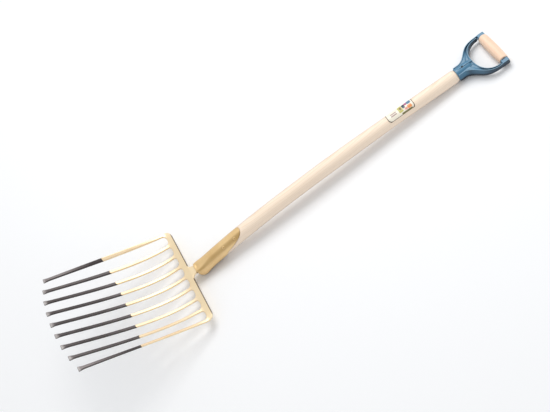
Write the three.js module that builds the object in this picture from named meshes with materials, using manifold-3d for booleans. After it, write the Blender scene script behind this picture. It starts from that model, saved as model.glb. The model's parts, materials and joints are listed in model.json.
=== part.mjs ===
// A nine-tine digging fork lying on its back: a steel comb of tines, a rolled socket,
// a curved ash shaft and a D-shaped handle with a wooden grip.
// X runs along the tool from the tines to the handle, Y across it and Z up. While the
// pieces are built, x = 0 is the back edge of the crossbar. Lengths are millimetres.
import * as THREE from "three";
import { mergeVertices } from "three/addons/utils/BufferGeometryUtils.js";
import Module from "manifold-3d";

const wasm = await Module();
wasm.setup();

// ---- Driving dimensions ----
const GAP = 0.3; // clearance between neighbouring pieces

const TINES = 9;
const PITCH = 37.5; // tine to tine at the crossbar
const CONVERGE = 0.04; // share of the pitch lost between crossbar and tips
const TINE_WIDTH = 7.2;
const STEEL = 5.4; // thickness of the comb
const BAR_DEPTH = 16.4; // back edge of the crossbar to the slot ends
const SLOT_ROUND = 10; // length of the rounded end of a slot
const CORNER = 18; // outer corner radius of the crossbar
const BAR_HEIGHT = 28.1; // middle of the steel above the floor at the back edge
const TIP_SETBACK = 17.1; // the outer tines are this much shorter than the middle one
const FLARE_WIDTH = 11.4;
const FLARE_LENGTH = 13;
const DISH_POWER = 3.8; // how late the comb bends up towards its outer tines
const TIP_POWER = 2.2; // how late the tips fall back towards the outer tines

const NECK_HALF = 14; // half width of the neck behind its fillets
const NECK_ROOT = 25; // half width of the neck where its fillets meet the bar
const NECK_FILLET = 10;
const TONGUE_HALF = 9.5; // half width of the tongue inside the socket
const TONGUE_START = 13.5;
const TONGUE_END = 44;
const NECK_RISE = 0.06; // slope of the neck and tongue

const SHEET = 2; // thickness of the socket's sheet steel
const SOCKET_RADIUS = 19.6; // outside, where it is round
const SOCKET_START = 15;
const SOCKET_WIDE = 36; // the sides and the belly have their full size here
const SOCKET_TALL = 58; // the top has risen to the full radius here
const MOUTH_HALF_WIDTH = 13.4;
const MOUTH_HALF_HEIGHT = 5.9;
const WRAP_ANGLE = THREE.MathUtils.degToRad(171); // half of the angle the sheet covers
const WRAP_END = 90; // the sheet closes right round the shaft up to here
const LEAF_END = 167;
const WELD_RADIUS = 2;

const NAIL_LOWER = 107; // where the two nails sit along the leaf
const NAIL_UPPER = 143;
const NAIL_ANGLE = THREE.MathUtils.degToRad(37); // round the shaft from its top
const NAIL_RADIUS = 1.9;
const NAIL_HEAD = 4.2;
const NAIL_DEPTH = 26;

const SHAFT_START = 60;
const SHAFT_THICK = 19.5; // radius where the shaft leaves the socket
const SHAFT_BELLY = 18.8; // radius along its middle
const SHAFT_TOP = 17.1; // radius below the handle
const SHOULDER = 10; // the wood is eased over this length to the handle's socket
const TENON_RADIUS = 12.5;
const TENON_LENGTH = 38;

const FRAME_X = 818.6; // open end of the handle's socket
const HANDLE_SLOPE = -0.036; // the handle falls this much per millimetre
const FRAME_HALF = 59; // half width across the arms
const BARREL_RADIUS = 15.8;
const BARREL_LENGTH = 30;
const CROTCH = 50; // socket end to the bottom of the opening
const GRIP_X = 108.5; // socket end to the axis of the grip
const ARM_TIP = 118.5;
const ARM_WIDTH = 6;
const BOSS_HALF = 7; // half thickness of the arms round the grip's rod
const BOSS_INSIDE = 47; // from the middle to the inside face of a boss
const RIM = 2; // width of the raised rims along the arms
const WEB_HALF = 2; // half thickness of the web between the rims
const RIB_WIDTH = 4;
const RIB_HALF_HEIGHT = 15.2;
const FRAME_NAIL_X = 21; // socket end to the nail through the tenon
const FRAME_NAIL_RADIUS = 2.4;
const FRAME_NAIL_LENGTH = 24;
const FRAME_NAIL_TOP = 13.4; // end of the nail above the handle's axis

const GRIP_MIDDLE = 13.9;
const GRIP_END = 12.2;
const GRIP_ROUND = 2.4; // rounding of the grip's ends
const ROD_RADIUS = 4;
const ROD_RECESS = 3; // plastic left between the rod's ends and the arms' outer faces

const LABEL_LENGTH = 76;
const LABEL_X = 657.5;
const LABEL_ANGLE = THREE.MathUtils.degToRad(54);
const LABEL_THICK = 0.35;
const LABEL_LIFT = 0.12; // clearance between the wood and the film

// ---- Curves that drive the form ----
const MIDDLE_TINE = new THREE.CubicBezierCurve(
  new THREE.Vector2(-16.4, 24),
  new THREE.Vector2(-116.4, 22.1),
  new THREE.Vector2(-234.4, 126),
  new THREE.Vector2(-329.1, 196),
);
const OUTER_TINE = new THREE.CubicBezierCurve(
  new THREE.Vector2(-16.3, 29),
  new THREE.Vector2(-115.4, 74),
  new THREE.Vector2(-214.3, 132.1),
  new THREE.Vector2(-311.9, 177.9),
);
const SHAFT_AXIS = new THREE.CubicBezierCurve(
  new THREE.Vector2(18.5, 16.4),
  new THREE.Vector2(254.3, 56.4),
  new THREE.Vector2(603.9, 33.2),
  new THREE.Vector2(928.5, 9.8),
);
// Lower edge of the socket's sheet behind the wrap, as height above the shaft's axis.
const LEAF_EDGE = [
  [WRAP_END, -24],
  [98, -12],
  [105, -3.4],
  [113, 1],
  [124, 3.2],
  [143, 8.6],
  [155, 13],
  [163, 17.2],
  [LEAF_END, 19],
];
const HALF_SPAN = ((TINES - 1) / 2) * PITCH;
const REACH = -MIDDLE_TINE.getPoint(1).x;

// ---- Materials ----
function paint(color, roughness, metalness) {
  return new THREE.MeshStandardMaterial({ color, roughness, metalness });
}
const gold = paint(0xd9b667, 0.42, 0.55);
const steel = paint(0xb9b9b6, 0.35, 0.9);
const ash = paint(0xf0dcc4, 0.55, 0);
const beech = paint(0xe9bf98, 0.55, 0);
const bluePlastic = paint(0x3f7596, 0.42, 0);
const paper = paint(0xe6e3d4, 0.5, 0);

// ---- Helpers ----
function toSolid(geometry) {
  const bare = geometry.index ? geometry.toNonIndexed() : geometry.clone();
  bare.deleteAttribute("normal");
  bare.deleteAttribute("uv");
  const merged = mergeVertices(bare, 1e-4);
  return new wasm.Manifold(
    new wasm.Mesh({
      numProp: 3,
      vertProperties: merged.attributes.position.array,
      triVerts: new Uint32Array(merged.index.array),
    }),
  );
}

function toGeometry(solid) {
  const mesh = solid.getMesh();
  const geometry = new THREE.BufferGeometry();
  const positions = new THREE.BufferAttribute(mesh.vertProperties, 3);
  geometry.setAttribute("position", positions);
  geometry.setIndex(new THREE.BufferAttribute(mesh.triVerts, 1));
  return geometry;
}

// Moves every vertex of a closed geometry to place(x, y, z).
function warp(geometry, place) {
  const bare = geometry.clone();
  bare.deleteAttribute("normal");
  bare.deleteAttribute("uv");
  const merged = mergeVertices(bare, 1e-4);
  const points = merged.attributes.position;
  for (let i = 0; i < points.count; i++) {
    const [x, y, z] = place(points.getX(i), points.getY(i), points.getZ(i));
    points.setXYZ(i, x, y, z);
  }
  return merged;
}

// Height of a plan-to-height curve at x, carried on as a straight line past its ends.
function heightAt(curve, x) {
  const rising = curve.getPoint(1).x > curve.getPoint(0).x;
  let low = 0;
  let high = 1;
  for (let i = 0; i < 30; i++) {
    const middle = (low + high) / 2;
    const before = rising ? curve.getPoint(middle).x < x : curve.getPoint(middle).x > x;
    if (before) low = middle;
    else high = middle;
  }
  const point = curve.getPoint(low);
  const slope = curve.getTangent(low);
  return point.y + ((x - point.x) * slope.y) / slope.x;
}

function axisHeight(x) {
  return heightAt(SHAFT_AXIS, x);
}

// A closed loft along the shaft's axis: size(x) gives [half width, half height].
function loft(from, to, steps, sides, size) {
  const unit = new THREE.CylinderGeometry(1, 1, 1, sides, steps);
  unit.rotateZ(-Math.PI / 2);
  return warp(unit, (u, v, w) => {
    const x = THREE.MathUtils.lerp(from, to, u + 0.5);
    const [halfWidth, halfHeight] = size(x);
    return [x, v * halfWidth, axisHeight(x) + w * halfHeight];
  });
}

// A round bar standing along Z with its foot at z = 0.
function bar(radius, length, sides = 20) {
  const geometry = new THREE.CylinderGeometry(radius, radius, length, sides);
  geometry.rotateX(Math.PI / 2);
  return geometry.translate(0, 0, length / 2);
}

function extrude(outline, from, to, segments = 10) {
  const geometry = new THREE.ExtrudeGeometry(outline, {
    depth: to - from,
    bevelEnabled: false,
    curveSegments: segments,
  });
  return geometry.translate(0, 0, from);
}

function lyingBar(radius, from, to, sides = 32) {
  return bar(radius, to - from, sides).rotateY(Math.PI / 2).translate(from, 0, 0);
}

// ---- The comb of tines ----
function combHeight(x, y) {
  if (x >= 0) return BAR_HEIGHT + NECK_RISE * x;
  const share = Math.pow(Math.min(Math.abs(y) / HALF_SPAN, 1), DISH_POWER);
  const reach = Math.min(x, -BAR_DEPTH);
  const middle = heightAt(MIDDLE_TINE, reach);
  const outer = heightAt(OUTER_TINE, reach);
  const height = THREE.MathUtils.lerp(middle, outer, share);
  const across = Math.min(-x / BAR_DEPTH, 1);
  return THREE.MathUtils.lerp(BAR_HEIGHT, height, across);
}

function tineMiddle(index, x) {
  return index * PITCH * (1 + (CONVERGE * x) / REACH);
}

function tipX(index) {
  const share = Math.abs(index * PITCH) / HALF_SPAN;
  return -REACH + TIP_SETBACK * Math.pow(share, TIP_POWER);
}

// One tine's edge, from its flare to the crossbar or back; side is +1 or -1.
function tineEdge(index, side) {
  const tip = tipX(index);
  const place = (x, half) => new THREE.Vector2(x, tineMiddle(index, x) + side * half);
  return [
    place(-BAR_DEPTH - SLOT_ROUND, TINE_WIDTH / 2),
    place(tip + FLARE_LENGTH, TINE_WIDTH / 2),
    place(tip + FLARE_LENGTH * 0.35, FLARE_WIDTH / 2),
    place(tip, FLARE_WIDTH / 2 - 0.8),
  ];
}

function combOutline() {
  const outline = new THREE.Shape();
  const side = HALF_SPAN + TINE_WIDTH / 2;
  outline.moveTo(0, -side + CORNER);
  outline.lineTo(0, -NECK_ROOT);
  outline.quadraticCurveTo(0, -NECK_HALF, NECK_FILLET, -NECK_HALF);
  outline.lineTo(TONGUE_START, -TONGUE_HALF);
  outline.lineTo(TONGUE_END, -TONGUE_HALF);
  outline.lineTo(TONGUE_END, TONGUE_HALF);
  outline.lineTo(TONGUE_START, TONGUE_HALF);
  outline.lineTo(NECK_FILLET, NECK_HALF);
  outline.quadraticCurveTo(0, NECK_HALF, 0, NECK_ROOT);
  outline.lineTo(0, side - CORNER);
  outline.quadraticCurveTo(0, side, -CORNER, side);
  const outermost = (TINES - 1) / 2;
  for (let index = outermost; index >= -outermost; index--) {
    const near = tineEdge(index, -1);
    for (const point of tineEdge(index, 1)) outline.lineTo(point.x, point.y);
    for (const point of near.slice().reverse()) outline.lineTo(point.x, point.y);
    if (index > -outermost) {
      const start = near[0];
      const next = tineEdge(index - 1, 1)[0];
      const middle = (start.y + next.y) / 2;
      outline.quadraticCurveTo(-BAR_DEPTH, start.y, -BAR_DEPTH, middle);
      outline.quadraticCurveTo(-BAR_DEPTH, next.y, next.x, next.y);
    }
  }
  outline.lineTo(-CORNER, -side);
  outline.quadraticCurveTo(0, -side, 0, -side + CORNER);
  return outline;
}

function tineHead() {
  const past = 12; // the bent slab runs on past the outline on every side
  const length = REACH + TONGUE_END + 2 * past;
  const slab = new THREE.BoxGeometry(length, 2 * (HALF_SPAN + past), STEEL, 32, 10, 1);
  slab.translate((TONGUE_END - REACH) / 2, 0, 0);
  const bent = warp(slab, (x, y, lift) => {
    const slope = (combHeight(x + 1, y) - combHeight(x - 1, y)) / 2;
    const tilt = Math.atan(slope);
    return [x - lift * Math.sin(tilt), y, combHeight(x, y) + lift * Math.cos(tilt)];
  });
  const tall = REACH;
  const prism = new THREE.ExtrudeGeometry(combOutline(), {
    depth: tall,
    bevelEnabled: false,
    curveSegments: 5,
  });
  prism.translate(0, 0, -tall / 4);
  return toSolid(bent).intersect(toSolid(prism));
}

// ---- The socket, one sheet rolled round the shaft ----
function ease(x, from, to) {
  return THREE.MathUtils.smoothstep(x, from, to);
}

// Fast at first, then levelling out: the closed front end swells like this.
function swell(x) {
  const t = THREE.MathUtils.clamp((x - SOCKET_START) / (SOCKET_WIDE - SOCKET_START), 0, 1);
  return Math.sqrt(1 - (1 - t) * (1 - t));
}

// Half width, top, bottom and squareness of the socket's outer face at x.
function socketSize(x) {
  const lerp = THREE.MathUtils.lerp;
  const tongue = BAR_HEIGHT + NECK_RISE * x;
  const axis = axisHeight(x);
  return {
    halfWidth: lerp(MOUTH_HALF_WIDTH, SOCKET_RADIUS, swell(x)),
    top: lerp(tongue + MOUTH_HALF_HEIGHT, axis + SOCKET_RADIUS, ease(x, 20, SOCKET_TALL)),
    bottom: lerp(tongue - MOUTH_HALF_HEIGHT, axis - SOCKET_RADIUS, swell(x)),
    power: lerp(0.5, 1, ease(x, SOCKET_START, SOCKET_TALL)),
  };
}

function rounded(value, power) {
  return Math.sign(value) * Math.pow(Math.abs(value), power);
}

// The point at an angle from the top, a given depth inside the socket's outer face.
function socketPoint(x, angle, depth) {
  const { halfWidth, top, bottom, power } = socketSize(x);
  const halfHeight = (top - bottom) / 2 - depth;
  const y = (halfWidth - depth) * rounded(Math.sin(angle), power);
  return [x, y, (top + bottom) / 2 + halfHeight * rounded(Math.cos(angle), power)];
}

// The sheet rolled round the shaft, between two depths measured inwards from its face.
function rolledSheet(inside, outside, grow) {
  const unit = new THREE.BoxGeometry(1, 2, 1, 24, 32, 1);
  return warp(unit, (u, around, through) => {
    const along = Math.pow(u + 0.5, 1.5); // closer steps where the front swells
    const x = THREE.MathUtils.lerp(SOCKET_START, LEAF_END + grow, along);
    const angle = around * (WRAP_ANGLE + grow / SOCKET_RADIUS);
    return socketPoint(x, angle, THREE.MathUtils.lerp(inside, outside, through + 0.5));
  });
}

// What is trimmed off the sheet's lower side, seen from the side, to leave the leaf.
function leafTrim(grow) {
  const edge = new THREE.SplineCurve(
    LEAF_EDGE.map(([x, z]) => new THREE.Vector2(x + grow, axisHeight(x) + z - grow)),
  );
  const low = -2 * SOCKET_RADIUS;
  const far = LEAF_END + 10;
  const high = axisHeight(LEAF_END) + 2 * SOCKET_RADIUS;
  const outline = new THREE.Shape([
    new THREE.Vector2(WRAP_END + grow, low),
    ...edge.getPoints(20),
    new THREE.Vector2(LEAF_END + grow, high),
    new THREE.Vector2(far, high),
    new THREE.Vector2(far, low),
  ]);
  const trim = extrude(outline, -2 * SOCKET_RADIUS, 2 * SOCKET_RADIUS, 8);
  return toSolid(trim.rotateX(Math.PI / 2));
}

function trimmedSheet(inside, outside, grow) {
  return toSolid(rolledSheet(inside, outside, grow)).subtract(leafTrim(grow));
}

// A fillet of weld metal under the neck, where the socket's mouth meets it.
function socketWeld() {
  const bead = new THREE.CapsuleGeometry(WELD_RADIUS, 2 * (NECK_HALF - 4), 4, 10);
  const under = combHeight(SOCKET_START, 0) - STEEL / 2;
  return bead.translate(
    SOCKET_START - WELD_RADIUS - 2 * GAP,
    0,
    under - WELD_RADIUS - GAP,
  );
}

// Turns a nail that stands over the origin to its place on the socket.
function atNail(geometry, x) {
  geometry.translate(0, 0, SOCKET_RADIUS).rotateX(NAIL_ANGLE);
  return geometry.translate(x, 0, axisHeight(x));
}

// A round-headed nail driven through the socket towards the middle of the shaft.
function socketNail(x) {
  const profile = [
    new THREE.Vector2(0, -NAIL_DEPTH),
    new THREE.Vector2(NAIL_RADIUS, 2 - NAIL_DEPTH),
    new THREE.Vector2(NAIL_RADIUS, GAP),
    new THREE.Vector2(NAIL_HEAD, GAP),
    new THREE.Vector2(NAIL_HEAD - 1, 1.5),
    new THREE.Vector2(0, 2),
  ];
  return atNail(new THREE.LatheGeometry(profile, 20).rotateX(Math.PI / 2), x);
}

function nailHole(x) {
  const hole = bar(NAIL_RADIUS + GAP, NAIL_DEPTH + 8).translate(0, 0, -NAIL_DEPTH - 1);
  return toSolid(atNail(hole, x));
}

// The hole for the nail that fixes the handle, in the handle's own frame.
function frameNailHole() {
  const depth = FRAME_NAIL_LENGTH + 2 * GAP;
  const hole = bar(FRAME_NAIL_RADIUS + GAP, depth + BARREL_RADIUS);
  return hole.translate(FRAME_NAIL_X, 0, FRAME_NAIL_TOP + GAP - depth);
}

// Moves a piece from the handle's own frame to its place on the end of the shaft.
function atHandle(geometry) {
  geometry.rotateY(-Math.atan(HANDLE_SLOPE));
  return geometry.translate(FRAME_X, 0, axisHeight(FRAME_X));
}

// ---- The shaft ----
function shaftRadius(x) {
  const low = (SHAFT_BELLY - SHAFT_THICK) * ease(x, LEAF_END, 320);
  const high = (SHAFT_TOP - SHAFT_BELLY) * ease(x, 430, 660);
  const end = (BARREL_RADIUS - 1 - SHAFT_TOP) * ease(x, FRAME_X - SHOULDER, FRAME_X);
  return SHAFT_THICK + low + high + end;
}

function shaft(nailsAt) {
  const shoulder = WRAP_END + GAP; // the wood swells out to the sheet's face here
  const inner = SOCKET_RADIUS - SHEET - 2 * GAP;
  const nose = loft(SHAFT_START, shoulder, 6, 32, () => [inner, inner]);
  const body = loft(shoulder, FRAME_X - 3 * GAP, 36, 32, (x) => {
    const radius = shaftRadius(x);
    return [radius, radius];
  });
  const tenon = atHandle(lyingBar(TENON_RADIUS, -2, TENON_LENGTH, 28));
  let wood = toSolid(nose).add(toSolid(body)).add(toSolid(tenon));
  wood = wood.subtract(trimmedSheet(SHEET + 2 * GAP, -4, 2 * GAP));
  for (const x of nailsAt) wood = wood.subtract(nailHole(x));
  return wood.subtract(toSolid(atHandle(frameNailHole())));
}

// ---- The D-shaped handle frame ----
// Outer edge of one arm in plan, from the socket to the boss; side is +1 or -1.
function armOutside(side) {
  return new THREE.CubicBezierCurve(
    new THREE.Vector2(18, side * (BARREL_RADIUS - 1.2)),
    new THREE.Vector2(44, side * (BARREL_RADIUS + 4)),
    new THREE.Vector2(48, side * FRAME_HALF),
    new THREE.Vector2(92, side * FRAME_HALF),
  ).getPoints(18);
}

// Inner edge of one arm in plan, from the crotch to the boss.
function armInside(side) {
  const arm = FRAME_HALF - ARM_WIDTH;
  return new THREE.CubicBezierCurve(
    new THREE.Vector2(CROTCH, 0),
    new THREE.Vector2(CROTCH, side * 30),
    new THREE.Vector2(62, side * arm),
    new THREE.Vector2(GRIP_X - BOSS_HALF - 5, side * arm),
  ).getPoints(18);
}

// Plan of one half of the frame, from the socket end round the arm to the crotch.
function halfOutline(side) {
  const at = (x, y) => new THREE.Vector2(x, side * y);
  return [
    at(2, 0),
    at(2, BARREL_RADIUS - 2),
    ...armOutside(side),
    at(ARM_TIP - 3, FRAME_HALF),
    at(ARM_TIP, FRAME_HALF - 3),
    at(ARM_TIP, BOSS_INSIDE),
    at(GRIP_X - BOSS_HALF - 2, BOSS_INSIDE),
    ...armInside(side).reverse(),
  ];
}

function frameOutline() {
  const right = halfOutline(-1);
  const left = halfOutline(1).reverse();
  return new THREE.Shape([...right, ...left.slice(1, -1)]);
}

// Side view of the frame without its barrel: thick at the socket and round the rod.
function frameSide() {
  const arm = 6;
  const top = [
    [2, 8],
    [24, 12.5],
    [46, 12],
    [66, 8.5],
    [88, arm],
    [GRIP_X - BOSS_HALF - 6, arm],
    [GRIP_X - BOSS_HALF, BOSS_HALF],
    [ARM_TIP - 3, BOSS_HALF],
    [ARM_TIP, BOSS_HALF - 3],
  ];
  const points = top.map(([x, z]) => new THREE.Vector2(x, z));
  const mirrored = top.map(([x, z]) => new THREE.Vector2(x, -z)).reverse();
  return new THREE.Shape([...points, ...mirrored]);
}

// A path moved sideways; a positive distance goes to its left.
function moveAside(path, distance) {
  return path.map((point, i) => {
    const along = path[Math.min(i + 1, path.length - 1)].clone();
    along.sub(path[Math.max(i - 1, 0)]).normalize();
    return new THREE.Vector2(point.x - along.y * distance, point.y + along.x * distance);
  });
}

// The recess between the two rims of one arm.
function armPocket(side) {
  const outer = moveAside(armOutside(side), -side * RIM).filter((p) => p.x > 54);
  const inner = moveAside(armInside(side), side * RIM);
  const beside = inner.filter((p) => Math.abs(p.y) > 30);
  return new THREE.Shape([...beside, ...outer.reverse()]);
}

// The small three-cornered hollow between the rib, the crotch and an arm.
function crotchPocket(side) {
  return new THREE.Shape([
    new THREE.Vector2(38, side * 14),
    new THREE.Vector2(46, side * 12),
    new THREE.Vector2(49, side * 30),
  ]);
}

function dFrame() {
  const side = extrude(frameSide(), -FRAME_HALF - 2, FRAME_HALF + 2);
  side.rotateX(Math.PI / 2);
  const tall = BARREL_RADIUS + 4;
  let frame = toSolid(extrude(frameOutline(), -tall, tall)).intersect(toSolid(side));
  for (const half of [1, -1]) {
    for (const recess of [armPocket(half), crotchPocket(half)]) {
      frame = frame.subtract(toSolid(extrude(recess, WEB_HALF, tall, 6)));
      frame = frame.subtract(toSolid(extrude(recess, -tall, -WEB_HALF, 6)));
    }
  }
  const barrel = new THREE.LatheGeometry(
    [
      new THREE.Vector2(0, 0),
      new THREE.Vector2(BARREL_RADIUS, 0),
      new THREE.Vector2(BARREL_RADIUS - 0.4, BARREL_LENGTH * 0.6),
      new THREE.Vector2(BARREL_RADIUS - 1.4, BARREL_LENGTH),
      new THREE.Vector2(BARREL_RADIUS - 6, BARREL_LENGTH + 12),
      new THREE.Vector2(0, BARREL_LENGTH + 15),
    ],
    36,
  );
  barrel.rotateZ(-Math.PI / 2);
  const rib = new THREE.BoxGeometry(CROTCH - 9, RIB_WIDTH, 2 * RIB_HALF_HEIGHT);
  rib.translate((CROTCH + 7) / 2, 0, 0);
  frame = frame.add(toSolid(barrel)).add(toSolid(rib));
  const bore = lyingBar(TENON_RADIUS + GAP, -2, TENON_LENGTH + 2 * GAP, 36);
  frame = frame.subtract(toSolid(bore));
  const holes = 2 * (FRAME_HALF - ROD_RECESS);
  const rodHole = bar(ROD_RADIUS + GAP, holes, 24).rotateX(-Math.PI / 2);
  rodHole.translate(GRIP_X, -holes / 2, 0);
  frame = frame.subtract(toSolid(rodHole));
  return frame.subtract(toSolid(frameNailHole()));
}

function gripProfile() {
  const half = BOSS_INSIDE - GAP;
  const bore = ROD_RADIUS + GAP;
  const crown = new THREE.QuadraticBezierCurve(
    new THREE.Vector2(GRIP_END, -half + GRIP_ROUND),
    new THREE.Vector2(2 * GRIP_MIDDLE - GRIP_END, 0),
    new THREE.Vector2(GRIP_END, half - GRIP_ROUND),
  );
  return [
    new THREE.Vector2(bore, -half),
    new THREE.Vector2(GRIP_END - GRIP_ROUND, -half),
    ...crown.getPoints(14),
    new THREE.Vector2(GRIP_END - GRIP_ROUND, half),
    new THREE.Vector2(bore, half),
    new THREE.Vector2(bore, -half),
  ];
}

// A printed label that follows the upper side of the shaft.
function label() {
  const unit = new THREE.BoxGeometry(1, 2, 1, 4, 10, 1);
  return warp(unit, (u, around, through) => {
    const x = LABEL_X + u * LABEL_LENGTH;
    const angle = around * LABEL_ANGLE;
    const radius = shaftRadius(x) + LABEL_LIFT + (through + 0.5) * LABEL_THICK;
    return [x, radius * Math.sin(angle), axisHeight(x) + radius * Math.cos(angle)];
  });
}

// ---- Assembly ----
const fork = new THREE.Group();

function addPiece(name, piece, material, parent) {
  const geometry = piece.isBufferGeometry ? piece : toGeometry(piece);
  geometry.computeVertexNormals();
  const mesh = new THREE.Mesh(geometry, material);
  mesh.name = name;
  parent.add(mesh);
  return mesh;
}

const nails = [NAIL_LOWER, NAIL_UPPER];
let socket = trimmedSheet(SHEET, 0, 0);
for (const x of nails) socket = socket.subtract(nailHole(x));

addPiece("tine_head", tineHead(), gold, fork);
addPiece("socket", socket, gold, fork);
addPiece("socket_weld", socketWeld(), gold, fork);
addPiece("socket_nail_lower", socketNail(NAIL_LOWER), gold, fork);
addPiece("socket_nail_upper", socketNail(NAIL_UPPER), gold, fork);

addPiece("shaft", shaft(nails), ash, fork);

// The handle stands in its own group, set along the end of the shaft.
const handle = new THREE.Group();
handle.position.set(FRAME_X, 0, axisHeight(FRAME_X));
handle.rotation.y = -Math.atan(HANDLE_SLOPE);
fork.add(handle);

addPiece("d_frame", dFrame(), bluePlastic, handle);

const frameNail = bar(FRAME_NAIL_RADIUS, FRAME_NAIL_LENGTH);
frameNail.translate(FRAME_NAIL_X, 0, FRAME_NAIL_TOP - FRAME_NAIL_LENGTH);
addPiece("frame_nail", frameNail, steel, handle);

const grip = addPiece("grip", new THREE.LatheGeometry(gripProfile(), 32), beech, handle);
grip.position.x = GRIP_X;

const rodLength = 2 * (FRAME_HALF - ROD_RECESS - GAP);
const rod = bar(ROD_RADIUS, rodLength, 24).rotateX(-Math.PI / 2);
rod.translate(GRIP_X, -rodLength / 2, 0);
addPiece("grip_rod", rod, steel, handle);

addPiece("label", label(), paper, fork);

// The origin goes under the middle of the tool, on the floor.
const box = new THREE.Box3().setFromObject(fork, true);
fork.position.set(-(box.min.x + box.max.x) / 2, 0, -box.min.z);

export default fork;
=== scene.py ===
"""A nine-tine fork lying on its back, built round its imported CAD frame.

Drawing units are millimetres: x runs along the tool from the tines to the handle, with
zero at the back edge of the crossbar, y runs across it, and z is the height.
"""

import json
import math

import bpy
import bmesh
import numpy as np
from mathutils import Matrix, Vector


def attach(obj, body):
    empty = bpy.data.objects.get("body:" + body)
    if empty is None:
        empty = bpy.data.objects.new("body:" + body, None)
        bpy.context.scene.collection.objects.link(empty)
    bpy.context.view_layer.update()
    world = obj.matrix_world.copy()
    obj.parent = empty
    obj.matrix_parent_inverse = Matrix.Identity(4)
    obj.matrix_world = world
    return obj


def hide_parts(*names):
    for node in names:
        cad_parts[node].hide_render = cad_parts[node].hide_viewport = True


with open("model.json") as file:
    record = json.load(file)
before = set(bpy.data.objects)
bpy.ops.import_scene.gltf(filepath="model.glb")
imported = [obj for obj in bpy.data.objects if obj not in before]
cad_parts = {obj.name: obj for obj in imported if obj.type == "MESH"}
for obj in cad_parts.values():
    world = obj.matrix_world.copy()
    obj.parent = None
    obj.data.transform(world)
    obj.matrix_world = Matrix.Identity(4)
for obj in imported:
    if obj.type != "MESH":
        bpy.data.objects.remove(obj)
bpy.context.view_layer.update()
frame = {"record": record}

MM = 0.001

# ---- Driving dimensions: the CAD's, but for TINE_FULLNESS, which it hasn't, and
# SLOT_ROUND, GRIP_MIDDLE and NAIL_RADIUS, which differ a little ----
GAP = 0.3  # clearance between neighbouring pieces
TINES = 9
PITCH = 37.5  # tine to tine at the crossbar
CONVERGE = 0.04  # share of the pitch lost between crossbar and tips
TINE_WIDTH = 7.2
TINE_FULLNESS = 1.04  # the tines' widest line is this much wider than the CAD's
STEEL = 5.4  # thickness of the comb
BAR_DEPTH = 16.4  # back edge of the crossbar to the slot ends
SLOT_ROUND = 9.4
CORNER = 18
BAR_HEIGHT = 28.1  # height in the drawing of the steel's middle at the back edge
TIP_SETBACK = 17.1  # the outer tines are this much shorter than the middle one
TIP_POWER = 2.2  # how late the tips fall back towards the outer tines
DISH_POWER = 3.8  # how late the comb bends up towards its outer tines
FLARE_WIDTH = 11.4
FLARE_LENGTH = 13
NECK_RISE = 0.06
SHEET = 2
SOCKET_START = 15
SOCKET_RISE = 20  # the flattened top starts to rise here
SOCKET_WIDE = 36
SOCKET_TALL = 58
WRAP_END = 90  # up to here the sheet goes round the shaft, all but an open seam
LEAF_END = 167
SOCKET_RADIUS = 19.6
MOUTH_HALF_WIDTH = 13.4
MOUTH_HALF_HEIGHT = 5.9
SHAFT_START = 60
SHAFT_THICK = 19.5
SHAFT_BELLY = 18.8
SHAFT_TOP = 17.1
SHOULDER = 10
TENON_RADIUS = 12.5
TENON_LENGTH = 38
FRAME_X = 818.6  # open end of the handle's socket
HANDLE_SLOPE = -0.036
FRAME_HALF = 59
BARREL_RADIUS = 15.8
CROTCH = 50
GRIP_X = 108.5
ARM_TIP = 118.5
ARM_WIDTH = 6
ARM_HALF_THICK = 6
BOSS_HALF = 7
BOSS_INSIDE = 47
GRIP_MIDDLE = 13.85
GRIP_END = 12.2
ROD_RADIUS = 4
NAIL_LOWER = 107
NAIL_UPPER = 143
NAIL_ANGLE = math.radians(37)
NAIL_HEAD = 4.2
NAIL_CROWN = 1.65  # height of the nail's round head
NAIL_RADIUS = 1.8
NAIL_DEPTH = 26
FRAME_NAIL_X = 21
LABEL_X = 657.5
LABEL_LENGTH = 76
LABEL_ANGLE = math.radians(54)
PAINT_LINE = -170.8  # the dark dip of the tines ends here

MIDDLE_TINE = ((-16.4, 24), (-116.4, 22.1), (-234.4, 126), (-329.1, 196))
OUTER_TINE = ((-16.3, 29), (-115.4, 74), (-214.3, 132.1), (-311.9, 177.9))
SHAFT_AXIS = ((18.5, 16.4), (254.3, 56.4), (603.9, 33.2), (928.5, 9.8))
# Half of the angle the socket's sheet covers along the leaf, in degrees.
LEAF_EDGE = ((90, 171), (94, 152), (98, 128), (105, 100), (113, 88), (124, 80.5), (143, 64),
             (155, 48), (163, 28.5), (166, 14), (LEAF_END, 2))
HALF_SPAN = (TINES - 1) / 2 * PITCH
REACH = -MIDDLE_TINE[-1][0]

mounts = {mount["name"]: mount for mount in frame["record"]["mounts"]}
BACK = mounts["bar_back_left"]["pos_m"]


def to_row(points):
    """Drawing millimetres to the row frame in metres."""
    points = np.asarray(points, dtype=float)
    origin = np.array([BACK[0], 0, BACK[2] - BAR_HEIGHT * MM])
    return points * MM + origin


# ---- Curves ----
def bezier(points, samples=400):
    """Points along a Bezier curve of any degree."""
    t = np.linspace(0, 1, samples)[:, None]
    layers = [np.asarray(p, dtype=float) + 0 * t for p in points]
    while len(layers) > 1:
        layers = [(1 - t) * a + t * b for a, b in zip(layers, layers[1:])]
    return layers[0]


def height_curve(points):
    """A function that gives the curve's height at x, straight past its ends."""
    curve = bezier(points)
    curve = curve[np.argsort(curve[:, 0])]
    first = (curve[1, 1] - curve[0, 1]) / (curve[1, 0] - curve[0, 0])
    last = (curve[-1, 1] - curve[-2, 1]) / (curve[-1, 0] - curve[-2, 0])

    def height(x):
        x = np.asarray(x, dtype=float)
        inside = np.interp(x, curve[:, 0], curve[:, 1])
        before = np.minimum(x - curve[0, 0], 0) * first
        after = np.maximum(x - curve[-1, 0], 0) * last
        return inside + before + after

    return height


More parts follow.
